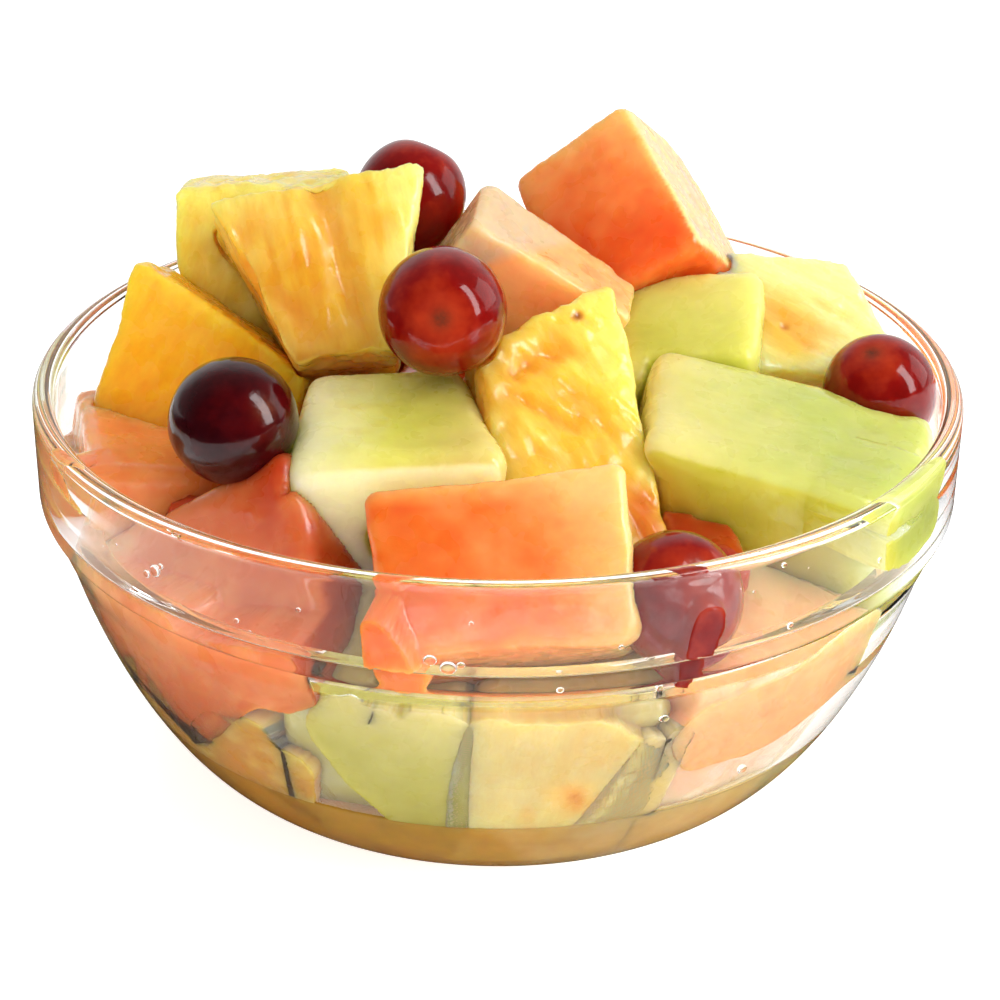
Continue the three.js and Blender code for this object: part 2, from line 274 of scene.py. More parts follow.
def smoothNoise(points, size, seed=0):  # from -1 to 1, with lumps of that size in mm
    grid = points / size
    cell = np.floor(grid).astype(np.int64)
    part = grid - cell
    part = part * part * (3 - 2 * part)
    total = np.zeros(len(points))
    for corner in range(8):
        step = np.array([corner & 1, corner >> 1 & 1, corner >> 2 & 1])
        key = (cell + step) @ np.array([73856093, 19349663, 83492791]) + seed * 7919
        key = (key ^ (key >> 13)) * 1274126177 & 0xFFFFFFFF
        key = (key ^ (key >> 16)) * 974634777 & 0xFFFFFFFF
        share = np.prod(np.where(step, part, 1 - part), axis=1)
        total += share * ((key >> 8 & 0xFFFF) / 32767.5 - 1)
    return total


def lineDistance(points, line):  # how far each point is from a line through those places
    nearest = np.full(len(points), 1e9)
    for start, end in zip(line, line[1:] or line):
        start, along = np.array(start, float), np.subtract(end, start).astype(float)
        share = np.clip((points - start) @ along / max(along @ along, 1e-9), 0, 1)
        nearest = np.minimum(nearest, np.linalg.norm(points - start - share[:, None] * along, axis=1))
    return nearest


def calmed(mesh, points, rounds):  # the same points, or other columns of numbers, after rounds of smoothing
    ends = np.empty(len(mesh.edges) * 2, np.int64)
    mesh.edges.foreach_get("vertices", ends)
    one, other = ends[0::2], ends[1::2]
    count = np.bincount(ends, minlength=len(points))
    calm = points.copy()
    for _ in range(rounds):
        for axis in range(calm.shape[1]):
            heap = np.bincount(one, calm[other, axis], len(points))
            heap += np.bincount(other, calm[one, axis], len(points))
            calm[:, axis] = heap / count
    return calm


# ---- the glass bowl

bowlShape = dict(
    rimRadius=70, height=61, wall=3.2, bandBottom=44, bandRound=1.8, ledge=46.5, ledgeRound=0.4,
    footRadius=33, footHeight=0.7, footEdge=1.5, floor=3.4,
    outerBody=dict(bottomRadius=44, topRadius=67.8, bottom=0.7, top=44, shoulder=(37, 44, 68.2)),
    innerBody=dict(bottomRadius=43, topRadius=64.2, bottom=3.4, top=46.5, shoulder=(39.5, 43, 64.2)),
    spread=1.2, rise=1.55, sides=200, steps=60,
)


def bodyRadius(body, height):  # the rounded wall, which straightens up at its shoulder
    rise = np.clip((height - body["bottom"]) / (body["top"] - body["bottom"]), 0, 1)
    turn = np.arccos((1 - rise) ** (1 / bowlShape["rise"]))
    growth = np.sin(turn) ** bowlShape["spread"]
    radius = body["bottomRadius"] + (body["topRadius"] - body["bottomRadius"]) * growth
    low, high, straight = body["shoulder"]
    share = np.clip((height - low) / (high - low), 0, 1)
    return radius + (straight - radius) * share * share * (3 - 2 * share)


def bodyCurve(body, outward=0.0):  # from the foot up, as radius and height
    turn = np.linspace(0, math.pi / 2, bowlShape["steps"])
    height = body["bottom"] + (body["top"] - body["bottom"]) * (1 - np.cos(turn) ** bowlShape["rise"])
    return [(r + outward, h) for r, h in zip(bodyRadius(body, height), height)]


def wallRadius(height):  # the bowl's inside radius at each height
    inside, rim = bowlShape["innerBody"], bowlShape["rimRadius"] - bowlShape["wall"]
    return np.where(height > inside["top"], rim, bodyRadius(inside, height))


def arc(radius, height, size, start, end, steps=8):  # angles in degrees from straight out
    angles = np.radians(np.linspace(start, end, steps))
    return [(radius + size * math.cos(a), height + size * math.sin(a)) for a in angles]


def turnedMesh(name, profile, sides):  # a profile from axis to axis turned round Z
    bm = bmesh.new()
    rings = []
    for radius, height in profile:
        if radius < 1e-6:
            rings.append([bm.verts.new((0, 0, height * mm))])
            continue
        angles = [math.tau * i / sides for i in range(sides)]
        places = [(radius * math.cos(a) * mm, radius * math.sin(a) * mm, height * mm) for a in angles]
        rings.append([bm.verts.new(place) for place in places])
    for low, high in zip(rings, rings[1:]):
        for i in range(sides):
            j = (i + 1) % sides
            corners = [low[i % len(low)], low[j % len(low)], high[j % len(high)], high[i % len(high)]]
            bm.faces.new(list(dict.fromkeys(corners)))
    bmesh.ops.recalc_face_normals(bm, faces=bm.faces)
    mesh = bpy.data.meshes.new(name)
    bm.to_mesh(mesh)
    bm.free()
    return mesh


def clearShader(recipe, look):  # refracts, but lets lamps and scattered light straight through
    where = recipe.node("ShaderNodeTexCoord", output="Object")
    ripple = recipe.noise(where, look["waveSize"], 1)
    waves = recipe.node("ShaderNodeBump", {}, {
        "Strength": look["waviness"], "Distance": 0.2 * mm, "Height": ripple})
    glass = recipe.node("ShaderNodeBsdfPrincipled", {}, {
        "Base Color": look["colour"], "Roughness": 0.0, "IOR": look["ior"], "Transmission Weight": 1.0,
        "Normal": waves})
    straight = recipe.node("ShaderNodeBsdfTransparent", {}, {"Color": look["shade"]})
    for kind in ("Diffuse", "Shadow"):
        glass = recipe.node("ShaderNodeMixShader", {}, {0: recipe.rayIs(kind), 1: glass, 2: straight})
    return glass


def clearMaterial(name, look):
    recipe = Recipe(bpy.data.materials.new(name))
    return recipe.finish(clearShader(recipe, look))


bowlGlass = dict(colour=(0.985, 0.992, 0.988, 1), shade=(0.96, 0.97, 0.965, 1), ior=1.5,
                 waviness=0.08, waveSize=14)


def buildBowl():
    s = bowlShape
    inner, rimRound = s["rimRadius"] - s["wall"], s["wall"] / 2
    foot = [(0, 0), (s["footRadius"] * 0.5, 0), (s["footRadius"], 0)]
    foot += [(s["footRadius"] + s["footEdge"], s["footHeight"])]
    bandEdge = arc(s["rimRadius"] - s["bandRound"], s["bandBottom"] + s["bandRound"], s["bandRound"], -90, 0)
    rim = arc(s["rimRadius"] - rimRound, s["height"] - rimRound, rimRound, 0, 180, 16)
    ledge = arc(inner - s["ledgeRound"], s["ledge"] + s["ledgeRound"], s["ledgeRound"], 0, -90)
    inside = bodyCurve(s["innerBody"])[::-1] + [(s["footRadius"], s["floor"]), (0, s["floor"])]
    profile = foot + bodyCurve(s["outerBody"]) + bandEdge + rim + ledge + inside
    thing = addObject("bowl_glass", turnedMesh("bowl_glass", profile, s["sides"]))
    dress(thing, "bowl", clearMaterial("bowlGlass", bowlGlass))


buildBowl()
print("bowl ready")


# ---- the juice on the bowl's floor

juicePool = dict(
    level=16, intoGlass=0.2, meniscus=0.4,
    colour=(0.95, 0.82, 0.5, 1), shade=(0.95, 0.85, 0.6, 1), ior=1.34, waviness=0.05, waveSize=9,
    cloud=(204, 142, 40), paleCloud=(250, 234, 192), paleSpan=50, cloudiness=0.55)


def juiceMaterial():  # clear liquid, clouded by fine pulp
    look = juicePool
    recipe = Recipe(bpy.data.materials.new("juice"))
    clear = clearShader(recipe, look)
    where = recipe.node("ShaderNodeTexCoord", output="Object")
    swirl = recipe.noise(where, 9, 3)
    pulp = recipe.node("ShaderNodeMix", dict(data_type="RGBA"), {
        0: swirl, 6: tint(*(0.86 * part for part in look["cloud"])), 7: tint(*look["cloud"])}, 2)
    across = recipe.node("ShaderNodeSeparateXYZ", {}, {0: where}, "X")
    # the pulp colour turns paler towards the right: painted light shining through the juice there
    right = (across * (1 / (look["paleSpan"] * mm)) + swirl * 0.6 - 0.3).held()  # clearer and paler there
    pulp = recipe.node("ShaderNodeMix", dict(data_type="RGBA"), {
        0: right, 6: pulp, 7: tint(*look["paleCloud"])}, 2)
    cloud = recipe.node("ShaderNodeBsdfPrincipled", {}, {
        "Base Color": pulp, "Roughness": 0.2, "IOR": 1.34, "Subsurface Weight": 0.8,
        "Subsurface Radius": (1.0, 0.6, 0.2), "Subsurface Scale": 8 * mm})
    share = (swirl * 0.4 - right * 0.4 + (look["cloudiness"] - 0.2)).held()
    return recipe.finish(recipe.node("ShaderNodeMixShader", {}, {0: share, 1: clear, 2: cloud}))


def buildJuice():
    body, level = bowlShape["innerBody"], juicePool["level"]
    wall = [(r, h - juicePool["intoGlass"]) for r, h in bodyCurve(body, juicePool["intoGlass"]) if h < level]
    edge = float(wallRadius(np.array([level]))[0])
    lip = [(edge + juicePool["intoGlass"], level + juicePool["meniscus"]), (edge - 0.3, level + 0.2),
           (edge - 1.2, level + 0.05), (edge - 2.5, level)]
    profile = [(0, body["bottom"] - juicePool["intoGlass"])] + wall + lip + [(0, level)]
    thing = addObject("juice_liquid", turnedMesh("juice_liquid", profile, bowlShape["sides"]))
    dress(thing, "juice_pool", juiceMaterial())


buildJuice()
print("juice ready")


# ---- cut fruit

def facing(way, colour, amount=1.0):  # the sides that look that way
    return dict(kind="facing", way=way, colour=colour, amount=amount)


def towards(way, start, colour, amount=1.0):  # one end of the piece, from start on, of -1 to 1
    return dict(kind="towards", way=way, start=start, colour=colour, amount=amount)


def beyond(place, way, colour, soft=1.0, amount=1.0):  # all past a plane, with an uneven border
    return dict(kind="beyond", place=place, way=way, colour=colour, soft=soft, amount=amount)


def spot(line, width, colour, amount=1.0, depth=0.0):  # round those places, sunk by that depth
    return dict(kind="spot", line=line, width=width, colour=colour, amount=amount, depth=depth)


# edge: how far the flesh turns pale along convex edges, a painted glow of light scattered through the thin
# edges
finishes = dict(
    cantaloupe=dict(
        slot="cantaloupe_flesh", deep=(196, 50, 8), pale=(252, 206, 165), edge=0.16,
        lumps=((16, 0.45), (6, 0.22), (2.4, 0.09)), nicks=0.25,
        strandStretch=3, strands=((2.4, 0.03), (1.1, 0.02)),
        mottle=((7, 0.16), (2.6, 0.1), (1.2, 0.07)), streaks=((1.3, 0.06),),
        strandSize=0.8, strandShare=0.35, grainSize=0.55, grainShare=0.3, ridges=0.01, sparkle=0.07,
        roughness=(0.12, 0.36), coat=0.8,
        scatter=0.95, radius=(1.0, 0.42, 0.16), depth=12),
    honeydew=dict(
        slot="honeydew_flesh", deep=(150, 160, 40), pale=(238, 230, 188), edge=0.12,
        lumps=((16, 0.5), (6, 0.25), (2.4, 0.09)), nicks=0.25,
        strandStretch=3, strands=((2.4, 0.03), (1.1, 0.02)),
        mottle=((7, 0.16), (2.6, 0.1), (1.2, 0.06)), streaks=((1.3, 0.06),),
        strandSize=0.8, strandShare=0.3, grainSize=0.55, grainShare=0.25, ridges=0.01, sparkle=0.06,
        roughness=(0.12, 0.36), coat=0.8,
        scatter=0.95, radius=(0.85, 1.0, 0.4), depth=12),
    pineapple=dict(
        slot="pineapple_flesh", deep=(214, 120, 14), pale=(254, 240, 175), edge=0.16,
        lumps=((12, 0.5), (4.5, 0.3), (2, 0.12)), nicks=0.35,
        strandStretch=7, strands=((3.6, 0.38), (1.8, 0.2), (0.9, 0.06)),
        mottle=((6, 0.2), (2.4, 0.12)), streaks=((2.6, 0.2), (1.1, 0.14)),
        strandSize=0.5, strandShare=0.9, grainSize=0.5, grainShare=0.3, ridges=0.08, sparkle=0.18,
        roughness=(0.1, 0.34), coat=0.9,
        scatter=0.95, radius=(1.0, 0.7, 0.22), depth=12),
    mango=dict(
        slot="mango_flesh", deep=(214, 104, 6), pale=(254, 214, 110), edge=0.14,
        lumps=((12, 0.45), (4.5, 0.22), (2, 0.08)), nicks=0.3,
        strandStretch=7, strands=((2.8, 0.16), (1.4, 0.12), (0.9, 0.06)),
        mottle=((6, 0.14), (2.4, 0.08)), streaks=((2.2, 0.12), (1.0, 0.08)),
        strandSize=0.5, strandShare=0.8, grainSize=0.5, grainShare=0.3, ridges=0.07, sparkle=0.15,
        roughness=(0.1, 0.36), coat=0.8,
        scatter=0.95, radius=(1.0, 0.58, 0.14), depth=12),
)

# grain: how the fibres run. fine: seen from close by. touches: where it is pressed on the glass.
cutFruit = dict(
    cantaloupe_top_right=dict(colour=(230, 98, 38), grain=(0.5, 0, 0.8), fine=True, tints=(
        towards((-0.3, -0.3, -1), 0.1, (222, 76, 14)), towards((-0.2, 0, 1), 0.35, (249, 178, 112)),
        facing((0.38, -0.73, -0.57), (238, 106, 38), 0.4), facing((0.8, 0, 0.6), (252, 200, 155)))),
    # cantaloupe_rind_top: flesh colours raised pale, painted light offsetting the shade the pieces beside it
    # cast on its flesh face
    cantaloupe_rind_top=dict(colour=(250, 180, 124), grain=(0.8, 0, -0.5), fine=True, tints=(
        towards((-0.5, 0, -1), 0.3, (248, 160, 98)), facing((0.54, -0.16, 0.83), (246, 184, 138), 0.9),
        facing((-0.83, 0, 0.56), (224, 200, 184)),
        beyond((4.5, -1, 80), (-0.28, 0.35, 0.7), (208, 184, 164), 1.6))),
    cantaloupe_front=dict(colour=(236, 122, 58), grain=(0.9, 0, 0.2), fine=True, tints=(
        towards((-1, 0, 0.2), 0.2, (216, 104, 34)), towards((1, 0, 0.5), 0.3, (250, 190, 130)),
        towards((0, 0.5, 1), 0.55, (251, 192, 132)), towards((0.3, -0.2, -1), 0.1, (244, 172, 124))),
        touches=(dict(line=((-16, -65, 52), (-14, -65, 48.5), (-11.5, -63.5, 45)), width=3),)),
    cantaloupe_front_left=dict(
        wet=6, relief=0.9, grow=0.8, colour=(228, 132, 84), grain=(0.7, 0, 0.5), fine=True, tints=(
        towards((-0.7, 0, 0.2), -0.1, (240, 178, 142)), towards((0, 0, -1), -0.2, (178, 86, 38)),
        # the top end turns deep red-brown: painted shadow of the dark grape and the piece beside it
        towards((0.3, 0.3, 1), 0.0, (168, 40, 3)), facing((0.98, -0.14, 0.13), (176, 76, 34))),
        touches=(dict(line=((-53, -28, 34), (-46, -42, 37), (-37, -51, 38), (-27, -57, 40)),
                      width=6, pull=11),
                 dict(line=((-50, -30, 28), (-45, -36, 25)), width=5, pull=11))),
    cantaloupe_far_left=dict(relief=0.6, colour=(236, 170, 126), grain=(0.2, 0.7, 0.5), fine=True, tints=(
        towards((0, 0, 1), 0.3, (230, 142, 88)), towards((1, -0.2, 0), 0.3, (204, 100, 46))),
        touches=(dict(line=((-60, -29, 57), (-54, -39, 55)), width=3.4),
                 dict(line=((-64, -8, 42), (-59, -24, 40), (-57, -20, 32)), width=9, pull=11))),
    cantaloupe_right_front=dict(relief=0.4, colour=(226, 168, 130), grain=(0.7, 0.4, 0.3), fine=True, tints=(
        towards((0.2, 0, 1), 0.2, (240, 195, 158)),),
        touches=(dict(line=((30, -54, 30), (40, -47, 31), (50, -38, 35), (57, -26, 36)), width=8, pull=10),)),
    # both cores are deep red-brown: painted shade for the dark gaps they show through
    cantaloupe_left_core=dict(colour=(206, 34, 4), grain=(0.7, 0, 0.5)),
    cantaloupe_center_core=dict(colour=(156, 42, 5), grain=(0.7, 0, 0.5)),
    cantaloupe_back_left=dict(colour=(232, 120, 58), grain=(0.5, 0.5, 0.5), tints=(
        towards((0, 0, 1), 0.2, (245, 165, 105)),)),
    cantaloupe_right_side=dict(wet=3, colour=(234, 130, 68), grain=(0.2, 0.9, 0.2), tints=(
        towards((0, 0, -1), 0.2, (240, 170, 118)),)),
    cantaloupe_back_low=dict(wet=3, colour=(232, 125, 62), grain=(0.7, 0.4, 0.3)),
    cantaloupe_left_low=dict(wet=3, colour=(226, 120, 62), grain=(0.3, 0.8, 0.3)),
    cantaloupe_core_back=dict(colour=(206, 80, 24), grain=(1, 0, 0)),
    cantaloupe_core_top=dict(colour=(196, 60, 12), grain=(1, 0, 0)),
    honeydew_center=dict(colour=(214, 212, 116), grain=(0.9, 0, 0.2), fine=True, keen=0.5, soft=1.6, tints=(
        towards((-0.8, 0, 0.2), 0.3, (222, 220, 182)), towards((1, 0, 0.4), 0.35, (208, 192, 124)),
        spot(((-12, -30, 65), (-8, -24, 65)), 6, (196, 198, 86), 0.6),
        facing((0.09, -0.99, -0.13), (244, 242, 208)))),
    honeydew_right=dict(
        colour=(184, 194, 108), grain=(0.9, -0.2, -0.2), fine=True, keen=0.3, soft=2.4, tints=(
        towards((-1, -0.2, 0.6), 0.2, (222, 214, 152)), facing((-0.23, -0.97, -0.12), (192, 186, 72)),
        # deep orange patch by the gap to the pineapple: painted shade of that gap
        spot(((20, -30, 50), (26, -33, 42), (36, -34, 38)), 6, (210, 126, 26), 0.85),
        towards((1, -0.3, 0), 0.4, (184, 190, 96)),
        spot(((50, -46, 54), (60, -32, 54)), 5, (148, 158, 72), 0.8)),
        touches=(dict(line=((49, -45, 57.5), (60, -30, 58)), width=4.5, pull=11),
                 dict(line=((49, -45, 51.5), (60, -30, 51)), width=3.6, pull=11))),
    honeydew_back=dict(colour=(198, 200, 92), grain=(0.9, 0, 0.3), fine=True, keen=0.7, soft=1.0, tints=(
        # the last tint lightens the left side: painted light offsetting its shade
        towards((0.4, 0, 1), 0.4, (216, 212, 128)), towards((-1, 0, -0.4), 0.2, (250, 240, 160)))),
    honeydew_bottom=dict(relief=0.25, grow=1.2, colour=(178, 172, 98), grain=(0.2, 0, 0.9), fine=True, tints=(
        towards((0.2, 0, 1), 0.15, (206, 196, 146)), towards((0, 0, -1), 0.1, (160, 152, 58))),
        touches=(dict(line=((-17, -58, 33), (-14, -57, 27), (-8, -55, 21)), width=9, pull=10),
                 dict(line=((-8, -60, 36), (-2, -60, 32)), width=6, pull=9),
                 dict(line=((-3, -60, 35), (-3, -55, 18)), width=5, pull=10))),
    honeydew_bottom_right=dict(
        wet=9, relief=0.3, grow=1.2, colour=(224, 190, 132), grain=(0.6, 0, 0.6), fine=True, tints=(
        towards((0, 0, -1), 0.1, (222, 180, 90)),)),
    honeydew_back_rim=dict(colour=(206, 208, 122), grain=(0.9, 0, 0.2), tints=(
        towards((0, 0.7, 0.3), 0.2, (220, 216, 150)),)),
    honeydew_left_side=dict(wet=3, colour=(204, 200, 120), grain=(0, 0.9, 0.2)),
    honeydew_right_low=dict(wet=3, colour=(206, 200, 120), grain=(0, 0.9, 0.2)),
    # pale: painted light brightening the shaded hollow under the front pieces
    honeydew_core_front=dict(colour=(236, 226, 160), grain=(1, 0, 0)),
    honeydew_core_right=dict(colour=(190, 160, 66), grain=(1, 0, 0)),
    pineapple_double=dict(colour=(226, 168, 52), grain=(0.25, -0.5, -0.8), fine=True, tints=(
        towards((-0.6, 0, 1), 0.35, (233, 204, 118)), towards((0.9, 0, 0.2), 0.1, (240, 205, 92)),
        towards((1, 0, 0.3), 0.75, (249, 230, 155), 0.8), towards((0, -0.3, -1), 0.3, (210, 128, 26)),
        spot(((-38, -5, 73), (-30, -12, 65)), 4.5, (210, 108, 14), 0.9),
        spot(((-34, -9, 68), (-30, -12, 64), (-27, -14, 62)), 5, (216, 104, 8), 0.9),
        # underside and left side painted bright: painted light offsetting their shade
        facing((0.13, -0.63, -0.77), (255, 206, 100)), facing((-0.86, -0.32, -0.39), (250, 190, 78), 0.8),
        spot(((-25, 3, 86), (-24, 0, 83)), 3, (214, 146, 60), 0.4),
        spot(((-27, 3, 89), (-26, 1, 86), (-24, -3, 81), (-21, -9, 75), (-19, -12, 70)), 2.2,
             (220, 150, 44), 0.35, 2.0),
        spot(((-38, -1, 82), (-37, -4, 78), (-33, -8, 75), (-28, -12, 72), (-26, -14, 68)), 1.8,
             (226, 150, 36), 0.6, 0.8))),
    pineapple_back_left=dict(colour=(232, 202, 92), grain=(0.2, 0, 0.9), fine=True, tints=(
        towards((0, 0, -1), 0.1, (204, 140, 44)), towards((0, 0, 1), 0.6, (240, 218, 120)))),
    pineapple_center=dict(colour=(240, 192, 74), grain=(0.5, -0.3, -0.75), fine=True, tints=(
        towards((0.8, 0, 0.5), 0.35, (246, 202, 76)), towards((0.3, 0, 1), 0.6, (246, 212, 104)),
        towards((0, 0, -1), 0.3, (228, 150, 60)), towards((-1, 0, 0), 0.3, (208, 148, 48)),
        spot(((-1, -19, 70), (4, -19, 70), (8, -17, 70)), 2.2, (236, 180, 66), 0.3, 0.8),
        spot(((3, -21, 69), (6, -18, 71), (8, -17, 70)), 1.6, (236, 176, 56), 0.3, 1.2),
        # deep red-orange patch by the gap to the honeydew: painted shade of that gap
        spot(((20.5, -33, 53), (22, -36, 50), (23, -37, 45)), 3, (186, 56, 4), 0.95),
        spot(((2, -24, 67), (7, -25, 65), (11, -26, 63)), 1.4, (236, 170, 60), 0.5, 0.8),
        spot(((5, -30, 60), (10, -32, 56)), 2.0, (238, 176, 60), 0.5, 0.7),
        spot(((11, -12, 73.5), (11.5, -12, 74)), 0.7, (130, 56, 14), 0.9, 0.3))),
    pineapple_right_back=dict(colour=(253, 236, 184), grain=(0.8, -0.3, -0.4), fine=True, tints=(
        towards((-0.8, 0, -0.6), 0.1, (240, 192, 74)),
        spot(((38, 10, 65), (43, 9.6, 63.8), (45, 8, 62)), 4.5, (234, 182, 66), 0.75, 0.8),
        spot(((33.5, 17, 68.5), (34, 17, 68.4)), 0.5, (190, 110, 44), 0.7, 0.4),
        spot(((44.5, 10, 64), (44.8, 10, 64)), 0.5, (176, 90, 36), 0.7, 0.4))),
    pineapple_bottom=dict(
        relief=0.35, grow=1.2, colour=(206, 186, 138), grain=(0.1, 0, 0.95), fine=True, tints=(
        towards((0, 0, -1), 0.2, (222, 200, 130)),
        spot(((10.5, -51, 21), (9.5, -52, 23.5)), 2.6, (226, 160, 72), 0.85, 0.7),
        spot(((10.5, -51, 21), (10, -52, 22.5)), 0.8, (170, 84, 26), 0.8, 0.4),
        spot(((-3.3, -47, 10.7), (-2.5, -47, 10)), 1.6, (170, 76, 22), 0.8, 0.8)),
        touches=(dict(line=((1, -60, 31), (12, -59, 31), (16, -57, 26)), width=8, pull=10),
                 dict(line=((0, -57, 20), (14, -54, 19)), width=9, pull=10),
                 dict(line=((0, -60, 35), (0, -55, 18)), width=5, pull=10))),
    pineapple_bottom_left=dict(
        wet=9, relief=0.3, grow=2, colour=(190, 134, 58), grain=(0.8, 0, 0.4), fine=True,
        touches=(dict(line=((-47, -33, 24), (-40, -40, 22), (-31, -46, 22), (-24, -53, 28)),
                      width=11, pull=13),)),
    pineapple_bottom_right=dict(wet=5, relief=0.5, colour=(232, 196, 128), grain=(0.8, 0.3, 0.2), fine=True),
    pineapple_back_right=dict(colour=(246, 220, 140), grain=(0.2, 0.2, 0.9)),
    pineapple_back_low=dict(wet=3, colour=(242, 208, 120), grain=(0.8, 0, 0.4)),
    mango_left=dict(colour=(242, 174, 34), grain=(0.35, 0, 0.9), fine=True, tints=(
        towards((-0.2, 0, 1), 0.5, (244, 190, 60)), towards((-0.5, 0, -1), 0.2, (216, 122, 18)),
        # right flank painted paler: painted light offsetting its shade
        facing((0.7, -0.1, -0.3), (254, 196, 90)))),
    mango_bottom_left=dict(wet=9, relief=0.3, grow=1, colour=(186, 128, 52), grain=(0.6, 0.5, 0.3), fine=True,
        touches=(dict(line=((-52, -20, 20), (-46, -27, 14), (-38, -36, 12)), width=9, pull=9),)),
)
cutting = dict(
    fineVoxel=0.42, voxel=0.8, softenRounds=4, edgeSpan=1.3, reach=1.7, blunt=0.35, evenRounds=3, grow=0.3,
    bent=0.12, sameWay=0.93, sameSide=0.86, leastSlope=0.3, tone=(1, 0.96, 0.72))


def fleshMaterial(name, look):
    recipe = Recipe(bpy.data.materials.new(name))
    where = recipe.node("ShaderNodeTexCoord", output="Object")
    along = recipe.node("ShaderNodeAttribute", dict(attribute_name="strands"), output="Vector")
    flesh = recipe.node("ShaderNodeAttribute", dict(attribute_name="flesh"), output="Color")
    strands = recipe.noise(along, look["strandSize"], 3, 0.6)
    grain = recipe.noise(where, look["grainSize"], 2, 0.6)
    film = recipe.noise(where, 3.5, 3, 0.6)
    beads = recipe.noise(where, 0.9, 2, 0.5)
    deeper = recipe.node("ShaderNodeMix", dict(data_type="RGBA", blend_type="MULTIPLY"), {
        0: 1.0, 6: flesh, 7: (0.95, 0.86, 0.74, 1)}, 2)
    paler = recipe.node("ShaderNodeMix", dict(data_type="RGBA", blend_type="MULTIPLY"), {
        0: 1.0, 6: flesh, 7: (1.05, 1.14, 1.26, 1)}, 2)
    share = (strands - 0.5) * look["strandShare"] + (grain - 0.5) * look["grainShare"] + 0.5
    colour = recipe.node("ShaderNodeMix", dict(data_type="RGBA"), {0: share.held(), 6: deeper, 7: paler}, 2)
    sparkle = ((recipe.noise(where, 4, 2) - 0.5) * 7).held()
    relief = strands * look["ridges"] + grain * 0.02 + beads * sparkle * look["sparkle"]
    bump = recipe.node("ShaderNodeBump", {}, {"Strength": 1.0, "Distance": 0.5 * mm, "Height": relief})
    smooth, rough = look["roughness"]
    wet = ((film - 0.4) * 5).held() * look["coat"]
    return recipe.finish(recipe.node("ShaderNodeBsdfPrincipled", dict(subsurface_method="RANDOM_WALK"), {
        "Base Color": colour, "Roughness": sparkle * (smooth - rough) + rough, "IOR": 1.5,
        "Subsurface Weight": look["scatter"], "Subsurface Radius": look["radius"],
        "Subsurface Scale": look["depth"] * mm, "Coat Weight": wet, "Coat Roughness": 0.07, "Coat IOR": 1.34,
        "Normal": bump}))


contact = dict(gap=0.3, intoGlass=0.25, border=0.7, pull=6, rimMargin=0.5, rimSlope=1.5, rimFade=3,
               ledgeMargin=1, turnedAway=0.2, broadWave=1.3, broadSize=9, fineWave=0.25, fineSize=2)


def fitToGlass(points, normals, piece, seed):  # nothing goes through the glass, and some places touch it
    rim, border = bowlShape["height"], contact["border"]
    radius = np.maximum(np.hypot(points[:, 0], points[:, 1]), 1e-6)
    wall = wallRadius(points[:, 2])
    over = np.maximum(points[:, 2] - rim + contact["rimMargin"], 0)  # free above the rim
    reach = np.minimum(radius, wall - contact["gap"] + contact["rimSlope"] * over)
    onWall = points.copy()
    onWall[:, :2] *= (wall / radius)[:, None]
    wobble = contact["broadWave"] * smoothNoise(onWall, contact["broadSize"], seed)
    wobble += contact["fineWave"] * smoothNoise(onWall, contact["fineSize"], seed + 1)
    below = points[:, 2] < bowlShape["ledge"] - contact["ledgeMargin"]
    pressed = np.zeros(len(points))
    if "wet" in piece:
        pressed = np.clip((piece["wet"] + 1.4 * wobble - wall + radius) / border, 0, 1) * below
    for touch in piece.get("touches", ()):
        share = np.clip(touch["width"] + wobble - lineDistance(onWall, touch["line"]), 0, border) / border
        pressed = np.maximum(pressed, share * (radius > wall - touch.get("pull", contact["pull"])))
    outward = (points[:, :2] * normals[:, :2]).sum(1) / radius
    pressed = pressed * np.clip((outward + contact["turnedAway"]) / contact["turnedAway"], 0, 1)
    pressed = pressed * np.clip((rim - points[:, 2]) / contact["rimFade"], 0, 1)
    reach = reach + pressed * (wall + contact["intoGlass"] - reach)
    points[:, :2] *= (reach / radius)[:, None]


def keenEdges(points, normals, bend, reach):  # how far each point must go out to make edges sharp
    sameSide, leastSlope = cutting["sameSide"], cutting["leastSlope"]
    flat = np.flatnonzero(bend < cutting["bent"])
    out = np.full(len(points), reach)
    bent = np.flatnonzero(bend >= cutting["bent"])
    left = flat
    while len(left) > 0.03 * len(flat):
        sample = left[::max(1, len(left) // 60)]
        counts = (normals[sample] @ normals[left].T > cutting["sameWay"]).sum(1)
        middle = normals[sample[counts.argmax()]]
        side = left[normals[left] @ middle > sameSide]
        left = left[normals[left] @ middle <= sameSide]
        known = side[::max(1, len(side) // 500)]
        hits = bent[normals[bent] @ middle > leastSlope]
        if not len(hits) or not len(known):
            continue
        for part in np.array_split(hits, len(hits) // 4000 + 1):
            square = ((points[part][:, None] - points[known][None]) ** 2).sum(2)
            near = known[square.argmin(1)]
            rise = ((points[near] - points[part]) * normals[near]).sum(1)
            slope = (normals[part] * normals[near]).sum(1)
            nearer = np.minimum(out[part], rise / np.maximum(slope, leastSlope))
            out[part] = np.where(slope > leastSlope, nearer, out[part])
    keen = np.zeros(len(points))
    keen[bent] = np.clip(out[bent], 0, reach)
    return keen * (out < reach)


